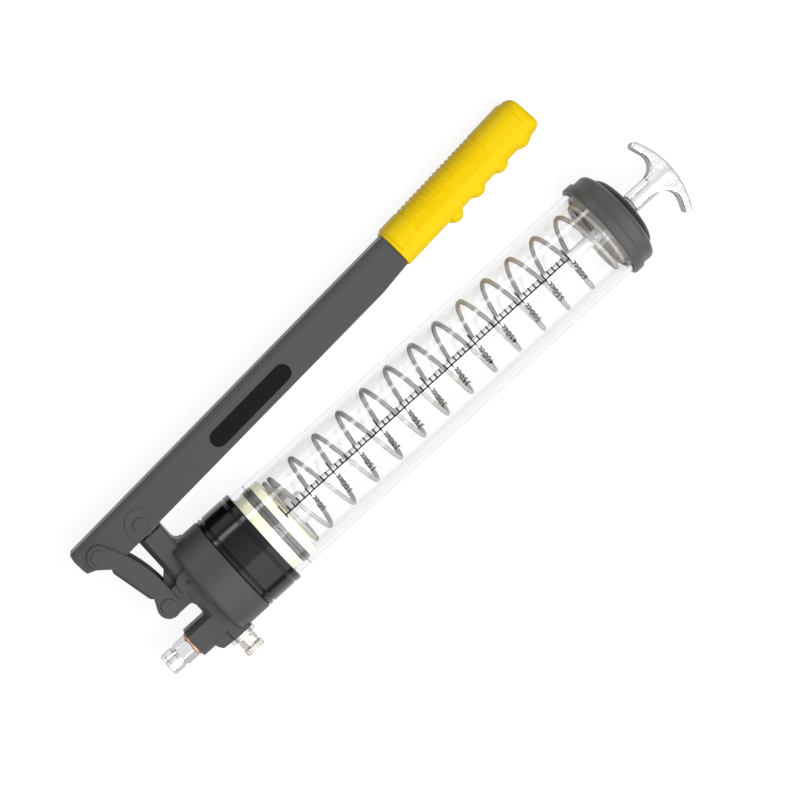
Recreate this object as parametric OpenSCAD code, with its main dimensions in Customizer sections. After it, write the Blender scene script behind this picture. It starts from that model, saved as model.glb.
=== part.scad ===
// Lever grease gun with a clear barrel, in millimetres. It lies on its side as it comes to rest,
// on the head cup, the cap rim and the side of the grip, with +Z up and +X along the barrel.
// The origin is the centre of the outlet's mouth.

/* [Barrel] */
// Bore of the clear barrel tube
tube_bore = 57.5; // [57:0.5:60]
// Wall of the barrel tube
tube_wall = 3; // [2.5:0.1:3.6]
// Length of the barrel tube
tube_len = 314; // [270:1:360]
// Length of the glossy collar that shows in front of the head
collar_len = 25.4; // [22:0.2:30]
// Height of the head cup and of the cap rim above the tube, which the gun lies on
rim_rise = 2.4; // [1.9:0.05:4]

/* [Head] */
// Length of the head cup along the barrel
cup_len = 22.9; // [20:0.1:28]
// Distance along the barrel from the plunger axis to the cup's face
cup_back = 2; // [1:0.1:4]
// Distance from the barrel axis down to the outlet axis
outlet_drop = 19.9; // [18.5:0.1:21]
// Distance from the outlet boss's mouth to the plunger axis
boss_reach = 25.5; // [25:0.1:29]
// Height of the outlet boss
boss_h = 19; // [17:0.2:21]
// Depth of the cast body from side to side
body_d = 21.6; // [20:0.2:23]
// Width of the plunger tower along the barrel
tower_w = 16.8; // [15.4:0.2:19]
// Height of the tower's top above the barrel axis
tower_top = 48.4; // [46:0.2:48.8]
// Drop of the cast body's bottom below the cup
foot_drop = 0.2; // [0.1:0.1:1]
// Diameter of the plunger
plunger_d = 9.5; // [8:0.5:11]

/* [Outlet] */
// Length of the adapter's round end
adapter_end_len = 9.2; // [7:0.2:12]
// Length of the adapter's hexagon
adapter_hex_len = 9.9; // [7:0.1:12]
// Width across the adapter's flats
adapter_af = 14; // [13:0.5:17]
// Thickness of the copper washer
washer_t = 1.9; // [1:0.1:2.5]
// Radius of the threaded hole in the outlet's mouth
outlet_r = 4.45; // [4:0.05:5]

/* [Bleeder valve] */
// Diameter of the bleeder's flange
bleeder_flange_d = 17.4; // [16:0.2:19]
// Width across the flats of the bleeder's hexagon
bleeder_af = 10.6; // [10:0.2:12]
// Diameter of the knurled knob
knob_d = 13; // [12:0.2:16]

/* [Lever] */
// Width of the lever channel from side to side
lever_w = 24; // [22:0.5:25]
// Height of the lever channel
lever_h = 24.6; // [23:0.2:26]
// Thickness of the lever's and the link's sheet
sheet_t = 2.5; // [2:0.1:3]
// Slope of the lever away from the barrel, in degrees
lever_slope = 3.65; // [3:0.05:6]
// Length of the channel from the link pin to the grip
lever_reach = 258.7; // [230:0.5:290]
// Height of the lever's plunger pin above the barrel axis
pin_a_y = 56.8; // [56.4:0.1:58]
// Distance along the barrel from the plunger axis back to the lever's link pin
pin_b_back = 31.7; // [30:0.1:34]
// Height of the lever's link pin above the barrel axis
pin_b_y = 59.2; // [58.4:0.1:60]
// Distance along the barrel from the plunger axis back to the head's link pin
pin_c_back = 20.7; // [20:0.1:22]
// Height of the head's link pin above the barrel axis
pin_c_y = 8.6; // [8:0.1:9.4]
// Diameter of the three pivot pins
pin_d = 8; // [7:0.5:8.5]

/* [Grip] */
// Length of the grip sleeve
grip_len = 118; // [100:0.5:130]
// Width of the grip from side to side
grip_w = 30; // [28:0.5:34]
// Height of the grip without its finger bumps
grip_h = 26.2; // [25:0.2:29]
// Slope of the grip against the lever, in degrees
grip_rake = 1.1; // [0:0.1:2]
// Number of grooves between the grip's ribs
groove_count = 19; // [10:1:20]

/* [Follower] */
// Thickness of the front disc
front_disc_t = 10; // [8:0.5:12]
// Thickness of the rubber seal
seal_t = 6; // [5:0.5:8]
// Thickness of the rear disc's rim
rear_disc_t = 5.5; // [4.5:0.5:8]
// Diameter of the follower rod
rod_d = 8; // [7:0.5:9]
// Outside diameter of the follower spring
spring_od = 49.6; // [46:0.2:50]
// Diameter of the spring's wire
wire_d = 3; // [2.4:0.1:3.2]
// Number of open turns in the spring
spring_turns = 13.2; // [10:0.1:14]
// Sideways bow of the spring at its middle
spring_bow = 3.2; // [0:0.1:3.3]

/* [Cap] */
// Length of tube that the cap covers
cap_overlap = 14.4; // [12:0.2:18]
// Width of the cap's rim along the barrel
rim_len = 6.8; // [5:0.2:9]
// Length of the cap's body behind the rim
cap_body_len = 13.2; // [12:0.1:20]
// Bulge of the cap's end face
cap_dome = 3.8; // [3:0.2:7]
// Diameter of the ivory bushing
bushing_d = 20; // [18:0.5:22]

/* [T-handle] */
// Length of the handle's shaft between the bushing and the bar
shaft_len = 20.3; // [14:0.1:26]
// Diameter of the handle's shaft
shaft_d = 13.2; // [12:0.2:14]
// Span of the handle's bar
bar_span = 56.5; // [48:0.5:62]
// Depth of the handle's bar from side to side
bar_w = 12; // [10:0.5:12.5]
// Thickness of the handle's bar at the shaft
bar_t = 6; // [5.4:0.1:7]
// Thickness of the handle's bar at its tips
tip_t = 5.2; // [4.4:0.1:5.4]
// Distance from the shaft's end to the outermost point of the bar
bar_reach = 13.8; // [12:0.2:18]

/* [Hidden] */
$fn = 96;

// Clearances: a running fit, a working gap between moving faces, and a cut's overshoot
fit = 0.05;
gap = 0.3;
over = 1;

// Stations along the barrel, counted from the outlet's mouth
boss_x = adapter_end_len + adapter_hex_len + washer_t;
plunger_x = boss_x + boss_reach;
cup_x = plunger_x + cup_back;
cup_end_x = cup_x + cup_len;
floor_t = 5;
floor_x = cup_x + floor_t;
gasket_t = 1.5;
spigot_x = floor_x + gasket_t;
collar_x = cup_end_x + gap;
collar_end_x = collar_x + collar_len;
tube_seat_x = collar_end_x - 21;
tube_end_x = tube_seat_x + tube_len;
ledge_x = collar_end_x - 3.4;
disc_x = ledge_x + gap;
seal_x = disc_x + front_disc_t;
rear_x = seal_x + seal_t;
spring_x = rear_x + rear_disc_t;
hub_h = 2.3;
nut_x = spring_x + hub_h;
cap_floor_x = tube_end_x + 0.5;
cap_x = cap_floor_x - cap_overlap;
shoulder_x = cap_x + rim_len + cap_body_len;
cap_end_x = shoulder_x + cap_dome;
seat_x = cap_x + 0.9;
bushing_end_x = cap_end_x + 2;
shaft_x = bushing_end_x + gap;
bar_x = shaft_x + shaft_len;
bow_r = 57;

// Radii of the barrel group
tube_r = tube_bore / 2;
tube_out_r = tube_r + tube_wall;
rim_r = tube_out_r + rim_rise;
collar_r = rim_r - 0.1;
spigot_r = tube_out_r - 0.9;
disc_r = tube_r - 0.35;
rod_r = rod_d / 2;
cap_r = tube_out_r + 0.95;
sleeve_r = tube_r - 1.7;
shoulder_r = cap_r - 6.2;
bushing_r = bushing_d / 2;
body_bottom = rim_r + foot_drop;

// The cast body: its section has long bevels where the sides meet the front and back
bevel = [3.4, 4.7];
body_x = plunger_x - tower_w / 2;
edge_r = 1.5;
cup_edge_r = 2.6;

// Pivot points in the plane of the linkage
pin_a = [plunger_x, pin_a_y];
pin_b = [plunger_x - pin_b_back, pin_b_y];
pin_c = [plunger_x - pin_c_back, pin_c_y];
pin_r = pin_d / 2;
pin_head_r = pin_r + 1;
pin_head_t = 1;
link_len = norm(pin_b - pin_c);
link_lean = atan2(pin_c.x - pin_b.x, pin_b.y - pin_c.y);
link_in = lever_w / 2 + gap;
link_out = link_in + sheet_t;
eye_r = pin_r + 3.4;
lug_w = lever_w;

// The slot in the plunger's head leaves room for the pin's path when the lever swings
slot_play_x = 1.85;
slot_play_y = 0.86;
head_wall = 2.6;

// The lever's outline, counted from the link pin along the channel and up to its web
web_v = lever_h * 0.549;
lower_v = web_v - lever_h;
nose_u = -12.4;
taper_start = lever_reach - 24;
taper_rise = 2;
bend_r = 4;
tang_len = grip_len - 14;
tang_w = lever_w - 3;
tang_h = 17.6;
grip_v = (web_v + lower_v + taper_rise) / 2 - 0.3;
grip_r = 10;
rib_h = 1.1;

// The grip's axis and its widest corner set the roll at which it meets the ground
grip_far_u = lever_reach + (grip_len - 9) * cos(grip_rake);
grip_far_v = grip_v + (grip_len - 9) * sin(grip_rake);
grip_far_y = pin_b_y + grip_far_u * sin(lever_slope) + grip_far_v * cos(lever_slope);
touch_y = grip_far_y + (grip_h / 2 - grip_r) * cos(lever_slope + grip_rake);
touch_z = grip_w / 2 - grip_r;
roll = asin((rim_r - grip_r - rib_h) / norm([touch_y, touch_z])) - atan(touch_z / touch_y);

// Valve parts behind the outlet
valve_r = 4.2;
passage_r = 2.2;
seat_cone_x = boss_x + 16.6;
ball_r = 3.2;
ball_x = seat_cone_x + valve_r - sqrt(2) * (ball_r + 0.1);
stem_len = 8.6;
stem_r = 5.2;

cast_grey = [0.34, 0.34, 0.345];
steel = [0.72, 0.72, 0.74];
zinc = [0.86, 0.87, 0.89];
nickel = [0.84, 0.81, 0.76];
cream = [0.95, 0.94, 0.84];

function unit(v) = v / norm(v);

// Points of the arc that rounds corner b between a and c
function arc_at(a, b, c, r, n) =
    r == 0 ? [b] :
    let (u = unit(a - b), w = unit(c - b), half = acos(u * w) / 2)
    let (mid = b + unit(u + w) * r / sin(half))
    let (from = b + u * r / tan(half) - mid, to = b + w * r / tan(half) - mid)
    let (start = atan2(from.y, from.x), end = atan2(to.y, to.x))
    let (sweep = (end - start + 540) % 360 - 180)
    [for (i = [0 : n]) mid + r * [cos(start + sweep * i / n), sin(start + sweep * i / n)]];

// An outline whose corners [x, y, r] are each rounded by their own r
function rounded(p, n = 6) =
    let (m = len(p), q = [for (c = p) [c.x, c.y]])
    [for (i = [0 : m - 1]) each arc_at(q[(i + m - 1) % m], q[i], q[(i + 1) % m], p[i][2], n)];

// A solid turned about the barrel axis from an outline of [x, r] points
module turned(outline) {
    rotate([0, 90, 0])
        rotate_extrude()
            polygon([for (p = outline) [p.y, p.x]]);
}

// A solid turned about the plunger axis from an outline of [y, r] points
module turned_up(outline) {
    translate([plunger_x, 0, 0])
        rotate([-90, 0, 0])
            rotate_extrude()
                polygon([for (p = outline) [p.y, p.x]]);
}

module rod_along_x(r, from, to) {
    translate([from, 0, 0])
        rotate([0, 90, 0])
            cylinder(r = r, h = to - from);
}

// A plate cut in the plane of the linkage, from one side depth to another
module plate(from, to) {
    translate([0, 0, from])
        linear_extrude(to - from)
            children();
}

module cross_pin(at, r, half) {
    translate([at.x, at.y, -half])
        cylinder(r = r, h = 2 * half);
}

module hex_bar(af, from, to) {
    translate([from, 0, 0])
        rotate([0, 90, 0])
            cylinder(d = af / cos(30), h = to - from, $fn = 6);
}

// The gun as it lies, rolled about the outlet axis until the grip touches the ground
module lying() {
    rotate([-roll, 0, 0])
        translate([0, outlet_drop, 0])
            children();
}

// A bevelled rectangle, the section of the casting's tower and outlet boss
function bevelled(w, d, b) = [
    [-w / 2, -d / 2 + b.y], [-w / 2, d / 2 - b.y], [-w / 2 + b.x, d / 2],
    [w / 2 - b.x, d / 2], [w / 2, d / 2 - b.y], [w / 2, -d / 2 + b.y],
    [w / 2 - b.x, -d / 2], [-w / 2 + b.x, -d / 2]];

// A round wire that follows a path of points, closed at both ends
module wire(path, r, sides) {
    n = len(path);
    function ring(i) =
        let (d = unit(path[min(i + 1, n - 1)] - path[max(i - 1, 0)]))
        let (s = unit(cross(d, [1, 0, 0])), t = cross(s, d))
        [for (k = [0 : sides - 1])
            path[i] + r * (cos(360 * k / sides) * s + sin(360 * k / sides) * t)];
    polyhedron(
        points = [for (i = [0 : n - 1]) each ring(i)],
        faces = concat(
            [[for (k = [0 : sides - 1]) k]],
            [for (i = [0 : n - 2], k = [0 : sides - 1])
                let (a = i * sides + k, b = i * sides + (k + 1) % sides)
                [a, a + sides, b + sides, b]],
            [[for (k = [sides - 1 : -1 : 0]) (n - 1) * sides + k]]));
}

module cast_cup() {
    turned(rounded([
        [cup_x, 0, 0], [cup_x, rim_r, cup_edge_r], [cup_end_x, rim_r, edge_r],
        [cup_end_x, rim_r - 4, 0], [cup_end_x - 1, 0, 0]]));
}

module cast_tower() {
    b = bevel;
    right = plunger_x + tower_w / 2;
    fillet_r = 4.6;
    translate([plunger_x, -body_bottom, 0])
        rotate([-90, 0, 0])
            linear_extrude(body_bottom + tower_top)
                polygon(rounded([
                    [-tower_w / 2, -body_d / 2 + b.y, 0], [-tower_w / 2, body_d / 2 - b.y, 0],
                    [-tower_w / 2 + b.x, body_d / 2, 0], [tower_w / 2, body_d / 2, 2.4],
                    [tower_w / 2, -body_d / 2, 2.4], [-tower_w / 2 + b.x, -body_d / 2, 0]], 4));
    // Fillet from the tower down to the cup
    plate(-body_d / 2 + 2.4, body_d / 2 - 2.4)
        difference() {
            translate([right - over, rim_r - 4])
                square([over + fillet_r, 4 + fillet_r]);
            translate([right + fillet_r, rim_r + fillet_r])
                circle(r = fillet_r);
        }
}

module cast_boss() {
    translate([boss_x, -outlet_drop, 0])
        rotate([90, 0, 90])
            linear_extrude(boss_reach)
                polygon(bevelled(boss_h, body_d, bevel));
    // Stepped foot under the boss
    low = -body_bottom;
    plate(-body_d / 2 + 2, body_d / 2 - 2)
        polygon(rounded([
            [boss_x + 9.4, -outlet_drop, 0], [boss_x + 9.4, low + 4.2, 2],
            [boss_x + 11.6, low + 0.6, 1.6], [body_x + 0.6, low, 0],
            [plunger_x, low, 0], [plunger_x, -outlet_drop, 0]]));
}

// The arm that carries the link, with its rib up to the tower
module cast_lug() {
    top = pin_c.y + eye_r - 0.4;
    bottom = pin_c.y - eye_r;
    corner_r = 3;
    plate(-lug_w / 2, lug_w / 2) {
        translate(pin_c)
            circle(r = eye_r);
        translate([pin_c.x, bottom])
            square([body_x + 1 - pin_c.x, top - bottom]);
    }
    // Round inner corners of the recess between the arm and the outlet boss
    plate(-body_d / 2 + bevel.y, body_d / 2 - bevel.y)
        difference() {
            translate([body_x - 2.4, -outlet_drop])
                square([3, bottom + over + outlet_drop]);
            polygon(rounded([
                [body_x - 9, bottom, 0], [body_x, bottom, 2.4],
                [body_x, -outlet_drop + boss_h / 2, 2.4], [body_x - 9, -outlet_drop + boss_h / 2, 0]]));
        }
    plate(-body_d / 2, body_d / 2)
        polygon(concat(
            [[body_x + bevel.x, bottom - corner_r], [body_x + bevel.x, top],
                [body_x - corner_r, top]],
            arc([body_x - corner_r, bottom - corner_r], corner_r, 90, 0, 8)));
    plate(-3.5, 3.5)
        polygon([[pin_c.x + 1, top - over], [body_x + over, top + 12], [body_x + over, top - over]]);
}

module pump_head() {
    bore_end = -outlet_drop + passage_r + 1.4;
    side_at = [plunger_x - 2.4, 12, 0];
    side_r = 7.1;
    side_h = 2.8;
    color(cast_grey)
        difference() {
            union() {
                cast_cup();
                cast_tower();
                cast_boss();
                cast_lug();
                // Side boss that runs back into the cup, with a drilled centre mark
                translate(side_at)
                    cylinder(r = side_r, h = body_d / 2 + side_h);
                translate(side_at - [0, side_r, 0])
                    cube([cup_x + over - side_at.x, 2 * side_r, body_d / 2 + side_h]);
            }
            translate([side_at.x + 1, side_at.y, body_d / 2 + side_h - 1.2])
                cylinder(r1 = 0.4, r2 = 3.2, h = 2);
            // Threaded mouth of the cup for the collar
            turned([[floor_x, 0], [floor_x, spigot_r + 0.02], [cup_end_x + over, spigot_r + 0.02],
                [cup_end_x + over, 0]]);
            // Plunger bore and the wider gland for its seal
            turned_up([[bore_end, 0], [bore_end, plunger_d / 2 + fit],
                [tower_top - 5.2, plunger_d / 2 + fit], [tower_top - 5.2, plunger_d / 2 + 1.8],
                [tower_top + over, plunger_d / 2 + 1.8], [tower_top + over, 0]]);
            // Inlet port from the cup into the bore
            rod_along_x(4.4, plunger_x, floor_x + over);
            // Passage from the bore to the valve, with the ball's conical seat
            turned_up([[-body_bottom - over, 0], [-body_bottom - over, 3.5], [-body_bottom + 9, 3.5],
                [-body_bottom + 9, passage_r], [0, passage_r], [0, 0]]);
            translate([0, -outlet_drop, 0])
                turned([[boss_x - over, 0], [boss_x - over, stem_r + 0.02],
                    [boss_x + stem_len + 0.4, stem_r + 0.02], [boss_x + stem_len + 0.4, valve_r],
                    [seat_cone_x, valve_r], [seat_cone_x + valve_r - passage_r, passage_r],
                    [plunger_x, passage_r], [plunger_x, 0]]);
            cross_pin(pin_c, pin_r, lug_w);
        }
}

module outlet_washer() {
    color([0.85, 0.55, 0.42])
        translate([0, -outlet_drop, 0])
            turned(rounded([
                [boss_x - washer_t, stem_r + 0.2, 0], [boss_x - washer_t, 8, 0.4],
                [boss_x, 8, 0.4], [boss_x, stem_r + 0.2, 0]], 3));
}

module outlet_adapter() {
    hex_x = adapter_end_len;
    end_r = adapter_af / 2 + 0.3;
    color(zinc)
        translate([0, -outlet_drop, 0])
            difference() {
                union() {
                    turned([
                        [0, 0], [0, end_r - 0.8], [0.8, end_r], [2.4, end_r], [2.6, end_r - 0.25],
                        [3, end_r - 0.25], [3.2, end_r], [hex_x - 1.4, end_r],
                        [hex_x - 1, end_r - 0.7], [hex_x, end_r - 0.7], [hex_x + over, 0]]);
                    intersection() {
                        rotate([17, 0, 0])
                            hex_bar(adapter_af, hex_x, hex_x + adapter_hex_len);
                        turned([
                            [hex_x - over, 0], [hex_x - over, adapter_af / 2 - 1.6],
                            [hex_x + 1.4, adapter_af / 2 + 0.9],
                            [hex_x + adapter_hex_len - 0.8, adapter_af / 2 + 0.9],
                            [hex_x + adapter_hex_len + 0.4, adapter_af / 2 - 0.6],
                            [hex_x + adapter_hex_len + 0.4, 0]]);
                    }
                    rod_along_x(stem_r, hex_x + adapter_hex_len - over, boss_x + stem_len);
                }
                rod_along_x(outlet_r, -over, 10);
                rod_along_x(2, 9, boss_x + stem_len + over);
            }
}

module check_ball() {
    color(steel)
        translate([ball_x, -outlet_drop, 0])
            sphere(r = ball_r);
}

module check_spring() {
    turns = 4;
    from = boss_x + stem_len + 0.4;
    length = ball_x - ball_r * 0.62 - from - 0.5;
    color(steel)
        translate([0, -outlet_drop, 0])
            wire([for (i = [0 : turns * 14])
                let (a = 360 * i / 14)
                [from + length * i / (turns * 14), 2.7 * cos(a), 2.7 * sin(a)]], 0.35, 6);
}

// Stations down the bleeder valve, from the body's bottom
bleeder_flange = 3.7;
bleeder_hex_top = bleeder_flange + 1.2;
bleeder_hex_end = bleeder_hex_top + 4.5;
knob_top = bleeder_hex_end + 0.3;
knob_end = knob_top + 5.2;
bleeder_stem_r = 2;

module bleeder_body() {
    low = -body_bottom;
    color(nickel)
        difference() {
            union() {
                turned_up(rounded([
                    [low, 0, 0], [low, bleeder_flange_d / 2, 0.5],
                    [low - bleeder_flange, bleeder_flange_d / 2, 0.8],
                    [low - bleeder_flange, 5.2, 0], [low - bleeder_hex_top - over, 5.2, 0],
                    [low - bleeder_hex_top - over, 0, 0]], 3));
                intersection() {
                    translate([plunger_x, low - bleeder_hex_top, 0])
                        rotate([90, 15, 0])
                            cylinder(d = bleeder_af / cos(30), h = bleeder_hex_end - bleeder_hex_top,
                                $fn = 6);
                    turned_up([
                        [low - bleeder_hex_top + over, 0],
                        [low - bleeder_hex_top + over, bleeder_af / 2 - 0.9],
                        [low - bleeder_hex_top - 1, bleeder_af / 2 + 0.8],
                        [low - bleeder_hex_end - over, bleeder_af / 2 + 0.8],
                        [low - bleeder_hex_end - over, 0]]);
                }
                turned_up([[low - over, 0], [low - over, 3.5], [low + 8, 3.5], [low + 8, 0]]);
            }
            turned_up([[low - knob_end, 0], [low - knob_end, bleeder_stem_r + fit],
                [low + 3.4, bleeder_stem_r + fit], [low + 3.4, 1.2], [low + 9, 1.2], [low + 9, 0]]);
        }
}

module bleeder_knob() {
    low = -body_bottom;
    flutes = 22;
    color(nickel)
        difference() {
            turned_up(rounded([
                [low + 3, 0, 0], [low + 3, bleeder_stem_r, 0.4], [low - knob_top, bleeder_stem_r, 0],
                [low - knob_top, 4.4, 0], [low - knob_top - 0.9, 4.6, 0],
                [low - knob_top - 1.2, knob_d / 2, 0.4], [low - knob_end, knob_d / 2, 0.7],
                [low - knob_end, 0, 0]], 3));
            for (i = [0 : flutes - 1])
                translate([plunger_x, low - knob_top - 0.9, 0])
                    rotate([90, 360 * i / flutes, 0])
                        translate([knob_d / 2 + 0.35, 0, 0])
                            cylinder(r = 0.7, h = knob_end, $fn = 16);
        }
}

module plunger() {
    head_x = pin_r + slot_play_x + head_wall;
    head_y = pin_r + slot_play_y + head_wall;
    slot_r = pin_r + slot_play_y;
    slot_off = slot_play_x - slot_play_y;
    neck = pin_a.y - head_y;
    color(steel)
        difference() {
            union() {
                turned_up([[-outlet_drop + 7.9, 0], [-outlet_drop + 7.9, plunger_d / 2 - 0.8],
                    [-outlet_drop + 8.7, plunger_d / 2], [neck + 2, plunger_d / 2], [neck + 2, 0]]);
                plate(-7, 7)
                    polygon(rounded([
                        [pin_a.x - head_x, pin_a.y - head_y, 3], [pin_a.x + head_x, pin_a.y - head_y, 3],
                        [pin_a.x + head_x, pin_a.y + head_y, 5.5],
                        [pin_a.x - head_x, pin_a.y + head_y, 5.5]]));
            }
            for (s = [-1, 1])
                cross_pin(pin_a + [s * slot_off, 0], slot_r, 8);
            translate([pin_a.x - slot_off, pin_a.y - slot_r, -8])
                cube([2 * slot_off, 2 * slot_r, 16]);
        }
}

module plunger_seal() {
    inner = plunger_d / 2 + fit;
    outer = plunger_d / 2 + 1.75;
    color([0.12, 0.12, 0.12])
        turned_up(rounded([
            [tower_top - 5.1, inner, 0], [tower_top - 5.1, outer, 0],
            [tower_top - 0.4, outer, 0.4], [tower_top - 0.4, inner, 0.4]], 3));
}

// A riveted pivot pin, its two heads just outside the half width
module pivot_pin(at, half) {
    color(cast_grey)
        difference() {
            union() {
                cross_pin(at, pin_r, half);
                for (s = [0, 1])
                    mirror([0, 0, s])
                        translate([at.x, at.y, half])
                            rotate_extrude()
                                polygon(rounded([[0, 0, 0], [pin_head_r, 0, 0],
                                    [pin_head_r, pin_head_t, 0.5], [0, pin_head_t, 0]], 3));
            }
            // Marks of the riveting punch
            for (s = [0, 1], a = [60, 200])
                mirror([0, 0, s])
                    translate([at.x + 2 * cos(a), at.y + 2 * sin(a), half + pin_head_t - 0.4])
                        cylinder(r1 = 0.2, r2 = 0.8, h = 0.6, $fn = 16);
        }
}

module link_head_pin() {
    pivot_pin(pin_c, link_out + gap / 2);
}

module lever_link_pin() {
    pivot_pin(pin_b, link_out);
}

module lever_plunger_pin() {
    pivot_pin(pin_a, lever_w / 2 + pad_t);
}

// The link's cheek, standing from the head pin up to the lever pin
web_in = 12.7;
web_back = 3.05;
notch_in = 10.2;
notch_back = 1.4;
link_bulge = 11.2;

module link_cheek() {
    bow_r = (pow(link_len / 2, 2) + pow(link_bulge - eye_r, 2)) / (2 * (link_bulge - eye_r));
    function shoulder(s) = eye_r * [-cos(35), s * sin(35)];
    for (y = [0, link_len])
        translate([0, y])
            circle(r = eye_r);
    intersection() {
        translate([link_bulge - bow_r, link_len / 2])
            circle(r = bow_r, $fn = 200);
        polygon([
            [-web_back, web_in], [-web_back, link_len - web_in], [-notch_back, link_len - notch_in],
            [0, link_len] + shoulder(-1), [0, link_len], [2 * link_bulge, link_len],
            [2 * link_bulge, 0], [0, 0], shoulder(1), [-notch_back, notch_in]]);
    }
}

module link() {
    web_len = link_len - 2 * web_in;
    cut_w = sheet_t + over;
    color(cast_grey)
        translate(pin_c)
            rotate([0, 0, link_lean])
                difference() {
                    union() {
                        for (s = [0, 1])
                            mirror([0, 0, s])
                                plate(link_in, link_out)
                                    link_cheek();
                        translate([-web_back, web_in, -link_out])
                            cube([sheet_t, web_len, 2 * link_out]);
                    }
                    // Round outside of the two folds
                    for (s = [-1, 1])
                        translate([-web_back + sheet_t, web_in - over, s * (link_out - sheet_t)])
                            rotate([-90, 0, 0])
                                difference() {
                                    translate([-cut_w, -(s + 1) * cut_w / 2, 0])
                                        cube([cut_w, cut_w, web_len + 2 * over]);
                                    translate([0, 0, -over])
                                        cylinder(r = sheet_t, h = web_len + 4 * over);
                                }
                    cross_pin([0, 0], pin_r + fit, link_out + over);
                    cross_pin([0, link_len], pin_r, link_out + over);
                }
}

// Places children in the lever's own frame: along the channel, up to the web, across
module on_lever() {
    translate(pin_b)
        rotate([0, 0, lever_slope])
            children();
}

module on_grip() {
    on_lever()
        translate([lever_reach, grip_v, 0])
            rotate([0, 0, grip_rake])
                children();
}

// Place of the plunger pin in the lever's frame, and the pressed pad round it
pin_a_on_lever = [
    (pin_a - pin_b) * [cos(lever_slope), sin(lever_slope)],
    (pin_a - pin_b) * [-sin(lever_slope), cos(lever_slope)]];
pad_r = 10.1;
pad_t = 0.6;

// The open channel's section, extruded along the lever from one station to another
module channel(from, to, w, top, bottom, t) {
    translate([from, 0, 0])
        rotate([90, 0, 90])
            linear_extrude(to - from)
                difference() {
                    polygon(rounded([
                        [bottom, -w / 2, 0], [top, -w / 2, bend_r], [top, w / 2, bend_r],
                        [bottom, w / 2, 0]]));
                    polygon(rounded([
                        [bottom - over, -w / 2 + t, 0], [top - t, -w / 2 + t, bend_r - t],
                        [top - t, w / 2 - t, bend_r - t], [bottom - over, w / 2 - t, 0]]));
                }
}

module lever() {
    color(cast_grey)
        difference() {
            on_lever()
                union() {
                    intersection() {
                        channel(nose_u - over, lever_reach + 0.01, lever_w, web_v, lower_v, sheet_t);
                        plate(-lever_w, lever_w)
                            polygon(rounded([
                                [nose_u + 1, web_v, 1], [nose_u, web_v - 5, 6],
                                [nose_u, 1, 12], [nose_u + 0.5, -1.9, 0.8],
                                [nose_u + 5.2, -4, 2], [1.2, lower_v, 1.5],
                                [taper_start, lower_v, 60], [lever_reach + 0.01, lower_v + taper_rise, 0],
                                [lever_reach + 0.01, web_v, 0]]));
                    }
                    for (s = [0, 1])
                        mirror([0, 0, s])
                            lever_pad();
                }
            cross_pin(pin_b, pin_r + fit, lever_w);
            cross_pin(pin_a, pin_r, lever_w);
        }
    color(cast_grey)
        on_grip()
            channel(-0.01, tang_len, tang_w, tang_h / 2, -tang_h / 2, sheet_t);
}

// The pad pressed out of the cheek round the plunger pin
module lever_pad() {
    a = pin_a_on_lever;
    plate(lever_w / 2 - 0.2, lever_w / 2 + pad_t)
        intersection() {
            union() {
                translate(a)
                    circle(r = pad_r);
                translate([a.x - pad_r, lower_v])
                    square([2 * pad_r, a.y - lower_v]);
            }
            translate([a.x - 2 * pad_r, lower_v])
                square([4 * pad_r, lever_h - bend_r]);
        }
}

module label_plate() {
    color([0.06, 0.06, 0.065])
        on_lever()
            plate(lever_w / 2, lever_w / 2 + 0.5)
                translate([lever_reach / 2, -1.2])
                    label_outline();
}

label_len = 66;
label_h = 11;
module label_outline() {
    square([label_len - label_h, label_h], center = true);
    for (s = [-1, 1])
        translate([s * (label_len - label_h) / 2, 0])
            circle(d = label_h);
}

// The grip's section, grown by a little for the raised band
function grip_section(grow) = [
    for (s = [[1, 1], [1, -1], [-1, -1], [-1, 1]])
        [s.x * (grip_h / 2 + grow), s.y * (grip_w / 2 + grow), grip_r + grow]];

module grip_prism(from, to, grow) {
    translate([from, 0, 0])
        rotate([90, 0, 90])
            linear_extrude(to - from)
                polygon(rounded(grip_section(grow), 8));
}

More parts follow.
